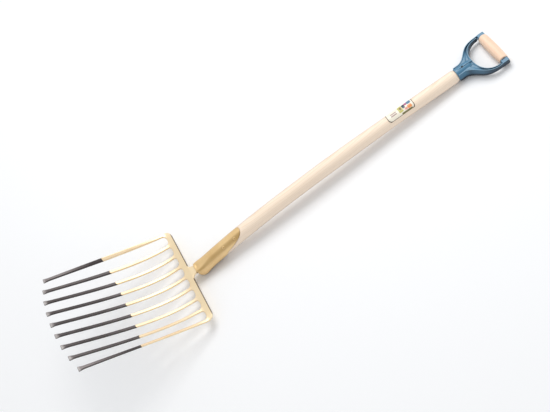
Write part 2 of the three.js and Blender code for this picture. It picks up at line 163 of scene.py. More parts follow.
middle_height = height_curve(MIDDLE_TINE)
outer_height = height_curve(OUTER_TINE)
axis_height = height_curve(SHAFT_AXIS)


def leaf_curve(x):
    """The leaf's edge angle at x, a smooth curve through the points of LEAF_EDGE."""
    xs, angles = np.array(LEAF_EDGE, dtype=float).T
    slopes = np.gradient(angles, xs)
    x = float(np.clip(x, xs[0], xs[-1]))
    k = int(np.clip(np.searchsorted(xs, x) - 1, 0, len(xs) - 2))
    span = xs[k + 1] - xs[k]
    t = (x - xs[k]) / span
    rise = angles[k + 1] - angles[k]
    a = slopes[k] * span - rise
    b = rise - slopes[k + 1] * span
    return angles[k] + rise * t + t * (1 - t) * ((1 - t) * a + t * b)


def smoothstep(x, low, high):
    t = np.clip((np.asarray(x, dtype=float) - low) / (high - low), 0, 1)
    return t * t * (3 - 2 * t)


def lerp(a, b, t):
    return a + (b - a) * t


# ---- Mesh helpers ----
def make_object(name, points, faces):
    """A mesh object from drawing points, in the row frame, riding on the tool."""
    mesh = bpy.data.meshes.new(name)
    mesh.from_pydata([tuple(p) for p in to_row(points)], [], [tuple(f) for f in faces])
    mesh.validate()
    obj = bpy.data.objects.new(name, mesh)
    bpy.context.scene.collection.objects.link(obj)
    tidy_mesh(obj)
    return obj


def tidy_mesh(obj):
    """Welds doubled points, turns every face outwards and shades it smooth."""
    work = bmesh.new()
    work.from_mesh(obj.data)
    bmesh.ops.remove_doubles(work, verts=work.verts, dist=1e-6)
    bmesh.ops.dissolve_degenerate(work, edges=work.edges, dist=1e-7)
    bmesh.ops.recalc_face_normals(work, faces=work.faces)
    work.to_mesh(obj.data)
    work.free()
    for polygon in obj.data.polygons:
        polygon.use_smooth = True


def subdivide(obj, levels):
    modifier = obj.modifiers.new("smooth form", "SUBSURF")
    modifier.levels = levels
    modifier.render_levels = levels


def apply_modifiers(obj):
    graph = bpy.context.evaluated_depsgraph_get()
    mesh = bpy.data.meshes.new_from_object(obj.evaluated_get(graph))
    obj.modifiers.clear()
    obj.data = mesh


def grid_faces(rows, columns, wrap=False, offset=0):
    """Quads over a grid of points stored row by row."""
    faces = []
    around = columns if wrap else columns - 1
    for r in range(rows - 1):
        for c in range(around):
            d = (c + 1) % columns
            low = offset + r * columns
            high = low + columns
            faces.append((low + c, high + c, high + d, low + d))
    return faces


def tube(name, sections, closed_ends=True):
    """A closed tube through rings of equally many points."""
    sections = np.asarray(sections, dtype=float)
    rings, count = sections.shape[:2]
    points = sections.reshape(-1, 3)
    faces = grid_faces(rings, count, wrap=True)
    if closed_ends:
        faces.append(tuple(range(count)))
        faces.append(tuple(range((rings - 1) * count, rings * count))[::-1])
    return make_object(name, points, faces)


# ---- The comb of tines ----
def comb_height(x, y):
    x = np.asarray(x, dtype=float)
    share = np.minimum(np.abs(y) / HALF_SPAN, 1) ** DISH_POWER
    reach = np.minimum(x, -BAR_DEPTH)
    height = lerp(middle_height(reach), outer_height(reach), share)
    across = np.clip(-x / BAR_DEPTH, 0, 1)
    bent = lerp(BAR_HEIGHT, height, across)
    return np.where(x > 0, BAR_HEIGHT + NECK_RISE * x, bent)


def comb_point(x, y, lift):
    """A point of the comb's steel, lift above the middle of its thickness."""
    slope = (comb_height(x + 1, y) - comb_height(x - 1, y)) / 2
    tilt = math.atan(float(slope))
    height = float(comb_height(x, y))
    return (x - lift * math.sin(tilt), y, height + lift * math.cos(tilt))


def tine_middle(index, x):
    return index * PITCH * (1 + CONVERGE * min(x, 0) / REACH)


def tip_x(index):
    return -REACH + TIP_SETBACK * abs(index * PITCH / HALF_SPAN) ** TIP_POWER


def round_corner(x, y):
    """Pulls points near the crossbar's outer corners on to a round corner."""
    side = HALF_SPAN + TINE_WIDTH / 2
    a = (x + CORNER) / CORNER
    b = (abs(y) - (side - CORNER)) / CORNER
    if a <= 0 or b <= 0:
        return x, y
    scale = max(a, b) / math.hypot(a, b)
    x = -CORNER + CORNER * a * scale
    return x, math.copysign(side - CORNER + CORNER * b * scale, y)


# Each column of the cage is a line across the steel: its two faces and two points between.
LAYERS = (1.0, 0.45, -0.45, -1.0)


class Cage:
    """A control cage for the comb, whose points are addressed by plan position."""

    def __init__(self):
        self.keys = {}
        self.points = []
        self.faces = []
        self.sides = set()

    def column(self, key, x, y, half):
        if key not in self.keys:
            self.keys[key] = len(self.points)
            for layer in LAYERS:
                self.points.append(comb_point(x, y, layer * half))
        return self.keys[key]

    def cell(self, corners):
        """One quad of the top and bottom faces; corners run anticlockwise in plan."""
        under = len(LAYERS) - 1
        self.faces.append(tuple(corners))
        self.faces.append(tuple(c + under for c in reversed(corners)))
        self.sides.update(zip(corners, corners[1:] + corners[:1]))

    def close_sides(self):
        for a, b in sorted(self.sides):
            if (b, a) in self.sides:
                continue
            for layer in range(len(LAYERS) - 1):
                self.faces.append((b + layer, a + layer, a + layer + 1, b + layer + 1))


# Lines across a tine and across a slot, as shares of their widths.
TINE_PARTS = (-1, -0.62, 0.62, 1)
SLOT_PARTS = (0.01, 0.09, 0.27, 0.5, 0.73, 0.91, 0.99)
BAR_PARTS = (0, 0.06, 0.18, 0.34, 0.54, 0.78, 1)  # rows from the back edge to the slot ends


def bar_columns():
    """Lines across the crossbar, as (y at the bar, x where they reach the slots, name)."""
    lines = []
    outermost = (TINES - 1) // 2
    gap = PITCH - TINE_WIDTH
    root = -BAR_DEPTH - SLOT_ROUND
    for index in range(-outermost, outermost + 1):
        for part in TINE_PARTS:
            end = root if abs(part) == 1 else root + 2.5
            lines.append((index * PITCH + part * TINE_WIDTH / 2, end, ("tine", index, part)))
        if index < outermost:
            start = index * PITCH + TINE_WIDTH / 2
            for share in SLOT_PARTS:
                across = abs(2 * share - 1)
                end = root + SLOT_ROUND * (1 - across ** 2.6) ** 0.5 + 0.5
                lines.append((start + gap * share, end, ("slot", index, share)))
    return lines


def bar_x(end, row):
    """The x of a bar row on a line that reaches the slots at end."""
    return end * BAR_PARTS[row]


def tine_rows(index):
    """(x, half width, half thickness) down one tine, past the crossbar."""
    tip = tip_x(index)
    start = -BAR_DEPTH - SLOT_ROUND - 7
    flare = tip + FLARE_LENGTH
    rows = []
    steps = 13
    for step in range(steps + 1):
        x = lerp(start, flare, step / steps)
        rows.append((x, TINE_WIDTH / 2, STEEL / 2))
    half = FLARE_WIDTH / 2
    rows.append((tip + 9, half * 0.80, STEEL * 0.47))
    rows.append((tip + 5.4, half * 1.0, STEEL * 0.42))
    rows.append((tip + 2.4, half * 1.04, STEEL * 0.39))
    rows.append((tip + 1.5, half * 1.0, STEEL * 0.38))
    return rows


def add_bar(cage):
    lines = bar_columns()
    for (y_low, end_low, low), (y_high, end_high, high) in zip(lines, lines[1:]):
        for row in range(len(BAR_PARTS) - 1):
            corners = []
            for y, end, name, at in (
                (y_low, end_low, low, row + 1),
                (y_low, end_low, low, row),
                (y_high, end_high, high, row),
                (y_high, end_high, high, row + 1),
            ):
                x, y = round_corner(bar_x(end, at), y)
                corners.append(cage.column((name, at), x, y, STEEL / 2))
            cage.cell(corners)


def add_tine(cage, index):
    rows = tine_rows(index)
    last_bar_row = len(BAR_PARTS) - 1
    for part_low, part_high in zip(TINE_PARTS, TINE_PARTS[1:]):
        for r in range(len(rows)):
            corners = []
            for part, row in (
                (part_low, r + 1),
                (part_low, r),
                (part_high, r),
                (part_high, r + 1),
            ):
                if row == 0:
                    corners.append(cage.keys[(("tine", index, part), last_bar_row)])
                    continue
                x, half_width, half_thick = rows[row - 1]
                y = tine_middle(index, x) + part * half_width * TINE_FULLNESS
                key = (("tine", index, part), "row", row)
                corners.append(cage.column(key, x, y, half_thick))
            cage.cell(corners)


# Rows behind the crossbar, as (x, share kept of each line's distance from the middle).
NECK_ROWS = ((3.0, 0.82), (7, 0.70), (12.5, 0.66), (15.5, 0.47), (30, 0.46), (37.2, 0.44))


def add_neck(cage):
    """The neck and tongue: the lines near the middle of the bar carried on backwards."""
    lines = [line for line in bar_columns() if abs(line[0]) < PITCH / 2 + 3]
    for (y_low, _, low), (y_high, _, high) in zip(lines, lines[1:]):
        for r in range(len(NECK_ROWS)):
            corners = []
            for y, name, row in (
                (y_low, low, r),
                (y_low, low, r + 1),
                (y_high, high, r + 1),
                (y_high, high, r),
            ):
                if row == 0:
                    corners.append(cage.keys[(name, 0)])
                    continue
                x, share = NECK_ROWS[row - 1]
                key = (name, "neck", row)
                corners.append(cage.column(key, x, y * share, STEEL / 2))
            cage.cell(corners)


def tine_comb():
    cage = Cage()
    add_bar(cage)
    outermost = (TINES - 1) // 2
    for index in range(-outermost, outermost + 1):
        add_tine(cage, index)
    add_neck(cage)
    cage.close_sides()
    obj = make_object("tine_comb", cage.points, cage.faces)
    subdivide(obj, 2)
    apply_modifiers(obj)
    return obj


# ---- The socket ----
DIMPLE_X = 22
DIMPLE_DEPTH = 1.5
BELLY_LIFT = 0.04  # keeps the rounded sheet just clear of the floor


def swell(x):
    """Fast at first, then levelling out: the closed front end swells like this."""
    t = np.clip((x - SOCKET_START) / (SOCKET_WIDE - SOCKET_START), 0, 1)
    return float(np.sqrt(1 - (1 - t) ** 2))


def socket_size(x):
    """Half width, top and bottom of the socket's outer face at x."""
    tongue = BAR_HEIGHT + NECK_RISE * x
    axis = float(axis_height(x))
    rise = float(smoothstep(x, SOCKET_RISE, SOCKET_TALL))
    width = lerp(MOUTH_HALF_WIDTH, SOCKET_RADIUS, swell(x))
    top = lerp(tongue + MOUTH_HALF_HEIGHT, axis + SOCKET_RADIUS, rise)
    bottom = lerp(tongue - MOUTH_HALF_HEIGHT, axis - SOCKET_RADIUS + BELLY_LIFT, swell(x))
    return width, top, bottom


def sheet_angle(x):
    """Half of the angle that the sheet covers at x, from the top of the shaft."""
    return math.radians(float(leaf_curve(x)))


def socket_point(x, angle, depth):
    """A point at an angle from the top, a given depth inside the outer face."""
    width, top, bottom = socket_size(x)
    power = lerp(0.5, 1.0, float(smoothstep(x, SOCKET_START, SOCKET_TALL)))
    c, s = math.cos(angle), math.sin(angle)
    half_height = (top - bottom) / 2 - depth
    y = (width - depth) * math.copysign(abs(s) ** power, s)
    z = (top + bottom) / 2 + half_height * math.copysign(abs(c) ** power, c)
    # A dimple where the flattened front was pressed down on to the tongue.
    if c > 0:
        z -= DIMPLE_DEPTH * math.exp(-(((x - DIMPLE_X) / 4) ** 2) - (y / 5) ** 2)
    return (x, y, z)


def socket_stations():
    """The x of each ring: closer together at the front and at the leaf's tip."""
    front = SOCKET_START + (SOCKET_WIDE - SOCKET_START) * np.linspace(0, 1, 26) ** 1.6
    tail = LEAF_END - 12 + 12 * np.sin(np.linspace(0, 1, 20)[1:] * math.pi / 2)
    return np.concatenate([
        front,
        np.linspace(SOCKET_WIDE, WRAP_END, 32)[1:],
        np.linspace(WRAP_END, LEAF_END - 12, 60)[1:],
        tail,
    ])


def socket_sheet():
    """The rolled sheet: outer face, inner face and a rounded edge all round."""
    around = 84
    rings = []
    for x in socket_stations():
        limit = sheet_angle(x)
        outer = [socket_point(x, a, 0.0) for a in np.linspace(-limit, limit, around)]
        inner = [socket_point(x, a, SHEET) for a in np.linspace(limit, -limit, around)]
        step = 0.45 / SOCKET_RADIUS
        right = [socket_point(x, limit + step, SHEET / 2)]
        left = [socket_point(x, -limit - step, SHEET / 2)]
        rings.append(outer + right + inner + left)
    return tube("socket_sheet", rings)


# ---- Nails ----
def lathe(name, profile, place, sides=40):
    """A turned piece: profile is (radius, height), place maps a local point."""
    rings = []
    for radius, height in profile:
        ring = []
        for k in range(sides):
            turn = 2 * math.pi * k / sides
            ring.append(place(radius * math.cos(turn), radius * math.sin(turn), height))
        rings.append(ring)
    return tube(name, rings)


def arc(centre, radius, start, end, steps):
    """Profile points on an arc, with angles in degrees."""
    turns = np.radians(np.linspace(start, end, steps))
    return [(centre[0] + radius * math.cos(t), centre[1] + radius * math.sin(t)) for t in turns]


def socket_nail(name, x):
    """A nail with a low round head, driven in from the socket's side."""
    head = [(NAIL_HEAD * math.cos(t), GAP + NAIL_CROWN * math.sin(t))
            for t in np.linspace(0, 1.45, 9)]
    shank = [(0.3, -NAIL_DEPTH), (NAIL_RADIUS, 2.5 - NAIL_DEPTH), (NAIL_RADIUS, GAP)]
    profile = shank + [(NAIL_HEAD - 0.2, GAP)] + head
    c, s = math.cos(NAIL_ANGLE), math.sin(NAIL_ANGLE)
    centre = float(axis_height(x))

    def place(u, v, w):
        out = SOCKET_RADIUS + w
        return (x + u, v * c - out * s, centre + v * s + out * c)

    return lathe(name, profile, place)


def weld_bead(name):
    """A rippled bead of weld metal under the neck."""
    x = SOCKET_START - 2.6
    z = float(comb_height(SOCKET_START, 0)) - STEEL / 2 - 2.3
    rings = []
    for y in np.linspace(-11.8, 11.8, 72):
        ripple = 1 + 0.09 * math.sin(y * 3.4) + 0.04 * math.sin(y * 7.9)
        radius = 1.9 * ripple * max(1 - abs(y / 12) ** 4, 0.05) ** 0.5
        ring = []
        for k in range(20):
            turn = 2 * math.pi * k / 20
            ring.append((x + radius * math.cos(turn), y, z + radius * math.sin(turn)))
        rings.append(ring)
    return tube(name, rings)


# ---- The shaft ----
def shaft_radius(x):
    """The wood's radius, which tapers to the handle and is eased to its socket."""
    low = (SHAFT_BELLY - SHAFT_THICK) * smoothstep(x, LEAF_END, 320)
    high = (SHAFT_TOP - SHAFT_BELLY) * smoothstep(x, 430, 660)
    end = (BARREL_RADIUS - 1 - SHAFT_TOP) * smoothstep(x, FRAME_X - SHOULDER, FRAME_X)
    return SHAFT_THICK + low + high + end


def shaft_point(x, angle):
    """A point of the wood; it is let in under the socket's sheet."""
    full = float(shaft_radius(x))
    under = SOCKET_RADIUS - SHEET - 2 * GAP
    margin = 0.9 / SOCKET_RADIUS
    limit = sheet_angle(min(x, LEAF_END)) + margin if x < LEAF_END + 0.8 else -1
    share = float(smoothstep(abs(angle), limit, limit + 0.05)) if limit > 0 else 1.0
    share = 0.0 if x < WRAP_END + 0.4 else share
    return ring_point(x, lerp(under, full, share), angle)


def shaft_wood():
    """The whole shaft, from inside the socket to the end of its tenon."""
    sides = 120
    stations = np.concatenate([
        [SHAFT_START, SHAFT_START + 1.5],
        np.linspace(63, WRAP_END + 0.3, 9),
        np.linspace(WRAP_END + 0.7, LEAF_END + 2, 90),
        np.linspace(LEAF_END + 6, FRAME_X - SHOULDER, 110),
        np.linspace(FRAME_X - SHOULDER, FRAME_X - 1.0, 12)[1:],
    ])
    turns = np.linspace(-math.pi, math.pi, sides, endpoint=False)
    rings = [[shaft_point(x, a) for a in turns] for x in stations]
    # The tenon carries on inside the handle's socket, in line with the handle.
    for x, radius in ((-0.9, TENON_RADIUS), (10, TENON_RADIUS),
                      (TENON_LENGTH - 1.5, TENON_RADIUS - 0.15),
                      (TENON_LENGTH - 0.3, TENON_RADIUS - 1)):
        ring = [(x, radius * math.sin(a), radius * math.cos(a)) for a in turns]
        rings.append(at_handle(ring))
    return tube("shaft_wood", rings)


def ring_point(x, radius, angle):
    height = float(axis_height(x))
    return (x, radius * math.sin(angle), height + radius * math.cos(angle))


# ---- The D-shaped frame ----
END_TILT = math.atan(HANDLE_SLOPE)


def at_handle(points):
    """Points in the handle's own frame to the drawing's frame."""
    points = np.asarray(points, dtype=float)
    c, s = math.cos(END_TILT), math.sin(END_TILT)
    x = FRAME_X + points[..., 0] * c - points[..., 2] * s
    z = float(axis_height(FRAME_X)) + points[..., 0] * s + points[..., 2] * c
    return np.stack([x, points[..., 1], z], axis=-1)


def arm_outside():
    """Outer edge of one arm in plan, from the barrel to the tip."""
    start = bezier(((2, 14.6), (18, 14.6), (18, 14.6)), 6)
    sweep = bezier(((18, 14.6), (44, 19.6), (48, FRAME_HALF), (92, FRAME_HALF)), 48)
    tip = [(ARM_TIP - 2, FRAME_HALF), (ARM_TIP - 0.6, FRAME_HALF - 0.6),
           (ARM_TIP, FRAME_HALF - 2)]
    return np.concatenate([start[:-1], sweep, tip])


def arm_inside():
    """Inner edge of one arm in plan, from the crotch to the boss."""
    arm = FRAME_HALF - ARM_WIDTH
    return bezier(((CROTCH, 0), (CROTCH, 30), (62, arm), (GRIP_X - 12.5, arm)), 48)


def crotch_web(side):
    """The web of one arm, lofted from the arm's outer edge to its inner edge."""
    outer = arm_outside()
    inner = np.concatenate([arm_inside(), [(GRIP_X - 10, BOSS_INSIDE), (ARM_TIP, BOSS_INSIDE)]])
    share = np.linspace(0, 1, 60)
    rings = []
    for t in share:
        a = along_path(outer, t)
        b = along_path(inner, t)
        high_a = float(web_height(a[0]))
        high_b = float(web_height(b[0]))
        ring = [(a[0], side * a[1], -high_a), (b[0], side * b[1], -high_b),
                (b[0], side * b[1], high_b), (a[0], side * a[1], high_a)]
        rings.append(at_handle(ring))
    return tube("web", rings)


def along_path(path, share):
    """The point at a share of a path's length."""
    steps = np.linalg.norm(np.diff(path, axis=0), axis=1)
    run = np.concatenate([[0], np.cumsum(steps)])
    where = share * run[-1]
    return np.array([np.interp(where, run, path[:, 0]), np.interp(where, run, path[:, 1])])


def flange(name, path, width, half_height):
    """A rim that stands up along a plan path; width goes to the path's left."""
    path = np.asarray(path, dtype=float)
    along = np.gradient(path, axis=0)
    along /= np.linalg.norm(along, axis=1)[:, None]
    left = np.column_stack([-along[:, 1], along[:, 0]])
    heights = half_height(path[:, 0])
    rings = []
    for point, side, height in zip(path, left, heights):
        far = point + side * width
        ring = [(*point, -height), (*far, -height), (*far, height), (*point, height)]
        rings.append(at_handle(ring))
    return tube(name, rings)


def rim_height(x):
    """Half height of the frame's rims: tall at the barrel, a little raised at the boss."""
    barrel = lerp(12.2, ARM_HALF_THICK, smoothstep(x, 38, 90))
    boss = (BOSS_HALF - ARM_HALF_THICK) * smoothstep(x, GRIP_X - 16, GRIP_X - 8)
    return barrel + boss - 1.4 * smoothstep(x, ARM_TIP - 2.5, ARM_TIP)


def web_height(x):
    """Half height of the web between the rims: nearly level with them at the barrel."""
    return lerp(11.2, 2, smoothstep(x, 46, 66))


def frame_barrel():
    """The socket for the shaft's tenon, full and round up to the crotch."""
    profile = [
        (TENON_RADIUS + 0.4, 0.2), (BARREL_RADIUS - 0.5, 0.0), (BARREL_RADIUS, 0.6),
        (BARREL_RADIUS - 0.4, 14), (BARREL_RADIUS - 1.0, 26), (BARREL_RADIUS - 1.6, 38),
        (BARREL_RADIUS - 3.6, 43.5), (BARREL_RADIUS - 8, 46.5), (0.2, 48),
        (0.2, 39.5), (TENON_RADIUS + GAP, 38.8),
    ]
    rings = []
    for radius, along in profile + profile[:1]:
        turns = np.linspace(0, 2 * math.pi, 72, endpoint=False)
        ring = [(along, radius * math.cos(t), radius * math.sin(t)) for t in turns]
        rings.append(at_handle(ring))
    return tube("barrel", rings, closed_ends=False)


def boss(side):
    """The squared end of an arm, which holds one end of the rod."""
    y_low, y_high = BOSS_INSIDE, FRAME_HALF - 0.2
    x_low, x_high = GRIP_X - 9, ARM_TIP - 0.2
    half = BOSS_HALF
    rings = []
    for x, shrink in ((x_low, 1.2), (x_low + 1.2, 0), (x_high - 1.2, 0), (x_high, 1.2)):
        top = half - shrink
        ring = [(x, side * y_low, -top), (x, side * y_high, -top),
                (x, side * y_high, top), (x, side * y_low, top)]
        rings.append(at_handle(ring))
    return tube("boss", rings)


def cutter(points_of_ring, spans):
    """A bar to cut with: spans are its two end positions."""
    turns = np.linspace(0, 2 * math.pi, 48, endpoint=False)
    rings = [at_handle([points_of_ring(t, span) for t in turns]) for span in spans]
    return tube("cutter", rings)


def subtract(obj, tool):
    """Cuts a tool's shape out of an object."""
    modifier = obj.modifiers.new("cut", "BOOLEAN")
    modifier.operation = "DIFFERENCE"
    modifier.solver = "EXACT"
    modifier.object = tool
    apply_modifiers(obj)


def remove(obj):
    bpy.data.objects.remove(obj, do_unlink=True)


def join(objects, name):
    """One mesh from several, still overlapping."""
    work = bmesh.new()
    for obj in objects:
        work.from_mesh(obj.data)
    mesh = bpy.data.meshes.new(name)
    work.to_mesh(mesh)
    work.free()
    for obj in objects:
        remove(obj)
    joined = bpy.data.objects.new(name, mesh)
    bpy.context.scene.collection.objects.link(joined)
    return joined


def remesh(obj, voxel, smoothing):
    """Fuses overlapping solids into one skin and softens its edges."""
    modifier = obj.modifiers.new("fuse", "REMESH")
    modifier.mode = "VOXEL"
    modifier.voxel_size = voxel * MM
    modifier.use_smooth_shade = True
    apply_modifiers(obj)
    soften = obj.modifiers.new("soften", "SMOOTH")
    soften.factor = 0.5
    soften.iterations = smoothing
    apply_modifiers(obj)


FRAME_VOXEL = 0.55  # the frame is fused on a grid this fine
# The rib as (x, half height).
RIB = ((8, 15.8), (14, 16.9), (24, 16.8), (34, 16.2), (42, 15.4), (CROTCH - 0.5, 13.2))


def frame_rib():
    """The raised rib down the middle, from the barrel to the crotch."""
    rings = []
    for x, height in RIB:
        ring = [(x, -2.4, -height), (x, 2.4, -height), (x, 1.4, height), (x, -1.4, height)]
        rings.append(at_handle(ring))
    return tube("rib", rings)


def crotch_pocket(side, above):
    """A bar to cut one small three-cornered hollow beside the rib."""
    corners = ((36, 11), (46.4, 8), (48.6, 29))
    rings = []
    for z in (9, 20):
        rings.append(at_handle([(x, side * y, above * z) for x, y in corners]))
    return tube("pocket", rings)


def d_frame():
    solids = [frame_barrel(), frame_rib()]
    outside = arm_outside()
    inside = arm_inside()
    for side in (1, -1):
        outer = outside * np.array([1, side])
        inner = inside * np.array([1, side])
        solids.append(flange("rim", outer, -2.2 * side, rim_height))
        solids.append(flange("rim", inner, 2.2 * side, rim_height))
        solids.append(crotch_web(side))
        solids.append(boss(side))
    bore_radius = TENON_RADIUS + GAP
    bore = cutter(lambda t, x: (x, bore_radius * math.cos(t), bore_radius * math.sin(t)),
                  (-3, TENON_LENGTH + 0.6))
    hole = ROD_RADIUS + GAP
    rod = cutter(lambda t, y: (GRIP_X + hole * math.cos(t), y, hole * math.sin(t)),
                 (3 - FRAME_HALF, FRAME_HALF - 3))
    nail = cutter(lambda t, z: (FRAME_NAIL_X + 2.7 * math.cos(t), 2.7 * math.sin(t), z),
                  (9, 22))
    pockets = [crotch_pocket(side, above) for side in (1, -1) for above in (1, -1)]
    tools = [bore, rod, nail] + pockets
    for solid in solids:
        for tool in tools:
            subtract(solid, tool)
    for tool in tools:
        remove(tool)
    obj = join(solids, "d_frame_body")
    remesh(obj, FRAME_VOXEL, 4)
    return obj


# ---- Grip, rod and label ----
def grip_wood():
    half = BOSS_INSIDE - GAP
    bore = ROD_RADIUS + GAP
    crown = [(GRIP_END + (GRIP_MIDDLE - GRIP_END) * (1 - (y / half) ** 2) ** 0.9, y)
             for y in np.linspace(-half + 1.8, half - 1.8, 60)]
    low = arc((GRIP_END - 1.8, -half + 1.8), 1.8, -90, 0, 6)
    high = arc((GRIP_END - 1.8, half - 1.8), 1.8, 0, 90, 6)
    profile = [(bore, -half)] + low + crown[1:-1] + high + [(bore, half), (bore, -half)]
    rings = []
    turns = np.linspace(0, 2 * math.pi, 96, endpoint=False)
    for radius, y in profile:
        ring = [(GRIP_X + radius * math.cos(t), y, radius * math.sin(t)) for t in turns]
        rings.append(at_handle(ring))
    return tube("grip_wood", rings, closed_ends=False)


def grip_rod():
    half = FRAME_HALF - 3.4
    dome = [(ROD_RADIUS * math.cos(t), half - 1.0 + 1.0 * math.sin(t))
            for t in np.linspace(0, 1.5, 7)]
    profile = [(r, -y) for r, y in dome[::-1]] + dome
    rings = []
    turns = np.linspace(0, 2 * math.pi, 40, endpoint=False)
    for radius, y in profile:
        ring = [(GRIP_X + radius * math.cos(t), y, radius * math.sin(t)) for t in turns]
        rings.append(at_handle(ring))
    return tube("rod_steel", rings)


def frame_nail():
    def place(u, v, w):
        return at_handle((FRAME_NAIL_X + u, v, w)).tolist()

    profile = [(0.3, -10.4), (2.3, -9.8), (2.3, 12.6), (2.0, 13.2), (0.3, 13.4)]
    return lathe("frame_pin", profile, place, 32)


def label_film():
    """A thin printed film round the upper side of the shaft, with its own UV map."""
    columns, rows = 49, 33
    thick = 0.22
    layers = []
    for lift in (0.10, 0.10 + thick):
        for u in np.linspace(0, 1, columns):
            for v in np.linspace(-1, 1, rows):
                x = LABEL_X + (u - 0.5) * LABEL_LENGTH
                angle = v * LABEL_ANGLE
                layers.append(ring_point(x, float(shaft_radius(x)) + lift, angle))
    count = columns * rows
    faces = grid_faces(columns, rows, offset=count)
    faces += [f[::-1] for f in grid_faces(columns, rows)]
    edge = [c * rows for c in range(columns)]
    edge += [(columns - 1) * rows + r for r in range(1, rows)]
    edge += [c * rows + rows - 1 for c in range(columns - 2, -1, -1)]
    edge += [r for r in range(rows - 2, 0, -1)]
    for a, b in zip(edge, edge[1:] + edge[:1]):
        faces.append((a, b, count + b, count + a))
    obj = make_object("label_film", layers, faces)
    add_label_uv(obj)
    return obj


def add_label_uv(obj):
    """UVs in millimetres: x from the label's end, y round the shaft from its top."""
    layer = obj.data.uv_layers.new(name="print")
    low = to_row((LABEL_X - LABEL_LENGTH / 2, 0, 0))[0]
    for loop in obj.data.loops:
        point = obj.data.vertices[loop.vertex_index].co
        x = (point.x - low) / MM
        # The axis is read half a label further along, which narrows the angles a little.
        axis = to_row((0, 0, float(axis_height(x + LABEL_X))))[2]
        angle = math.atan2(point.y, point.z - axis)
        layer.data[loop.index].uv = (x, angle * SHAFT_TOP)


# ---- Materials ----
class Nodes:
    """Short names for building one material's node tree."""

    def __init__(self, name):
        self.material = bpy.data.materials.new(name)
        self.material.use_nodes = True
        self.tree = self.material.node_tree
        self.surface = self.tree.nodes["Principled BSDF"]
        coords = self.add("ShaderNodeTexCoord")
        self.place = coords.outputs["Object"]
        self.uv = coords.outputs["UV"]

    def add(self, kind, **settings):
        node = self.tree.nodes.new(kind)
        for key, value in settings.items():
            setattr(node, key, value)
        return node

    def link(self, source, target):
        self.tree.links.new(source, target)

    def put(self, socket, value):
        if hasattr(value, "is_output"):
            self.link(value, socket)
        else:
            socket.default_value = value

    def mapped(self, scale, move=(0, 0, 0)):
        node = self.add("ShaderNodeMapping")
        self.link(self.place, node.inputs["Vector"])
        node.inputs["Scale"].default_value = scale
        node.inputs["Location"].default_value = move
        return node.outputs["Vector"]

    def noise(self, scale, detail, stretch=(1, 1, 1), rough=0.5):
        node = self.add("ShaderNodeTexNoise")
        self.link(self.mapped(stretch), node.inputs["Vector"])
        node.inputs["Scale"].default_value = scale
        node.inputs["Detail"].default_value = detail
        node.inputs["Roughness"].default_value = rough
        return node.outputs["Fac"]

    def ramp(self, source, stops):
        node = self.add("ShaderNodeValToRGB")
        self.link(source, node.inputs["Fac"])
        elements = node.color_ramp.elements
        while len(elements) < len(stops):
            elements.new(0.5)
        for element, (position, colour) in zip(elements, stops):
            element.position = position
            element.color = (*colour, 1)
        return node.outputs["Color"]

    def grey(self, source, low, high, from_low=0.0, from_high=1.0):
        node = self.add("ShaderNodeMapRange")
        self.put(node.inputs["Value"], source)
        node.inputs["From Min"].default_value = from_low
        node.inputs["From Max"].default_value = from_high
        node.inputs["To Min"].default_value = low
        node.inputs["To Max"].default_value = high
        return node.outputs["Result"]

    def math(self, operation, a, b=0.0):
        node = self.add("ShaderNodeMath", operation=operation)
        self.put(node.inputs[0], a)
        self.put(node.inputs[1], b)
        return node.outputs[0]

    def mix(self, share, a, b):
        node = self.add("ShaderNodeMix", data_type="RGBA")
        self.put(node.inputs["Factor"], share)
        self.put(node.inputs[6], a if hasattr(a, "is_output") else (*a, 1))
        self.put(node.inputs[7], b if hasattr(b, "is_output") else (*b, 1))
        return node.outputs[2]

    def part(self, source, name):
        node = self.add("ShaderNodeSeparateXYZ")
        self.link(source, node.inputs[0])
        return node.outputs[name]

    def bump(self, height, strength, distance, below=None):
        node = self.add("ShaderNodeBump")
        node.inputs["Strength"].default_value = strength
        node.inputs["Distance"].default_value = distance
        self.link(height, node.inputs["Height"])
        if below:
            self.link(below, node.inputs["Normal"])
        return node.outputs["Normal"]

    def finish(self, colour, roughness, normal=None, **others):
        self.put(self.surface.inputs["Base Color"], colour)
        self.put(self.surface.inputs["Roughness"], roughness)
        if normal:
            self.link(normal, self.surface.inputs["Normal"])
        for key, value in others.items():
            self.put(self.surface.inputs[key.replace("_", " ")], value)
        return self.material


GOLD_COMB = ((0.91, 0.69, 0.42), (0.97, 0.79, 0.54))
GOLD_SOCKET = ((0.74, 0.49, 0.21), (0.87, 0.62, 0.31))


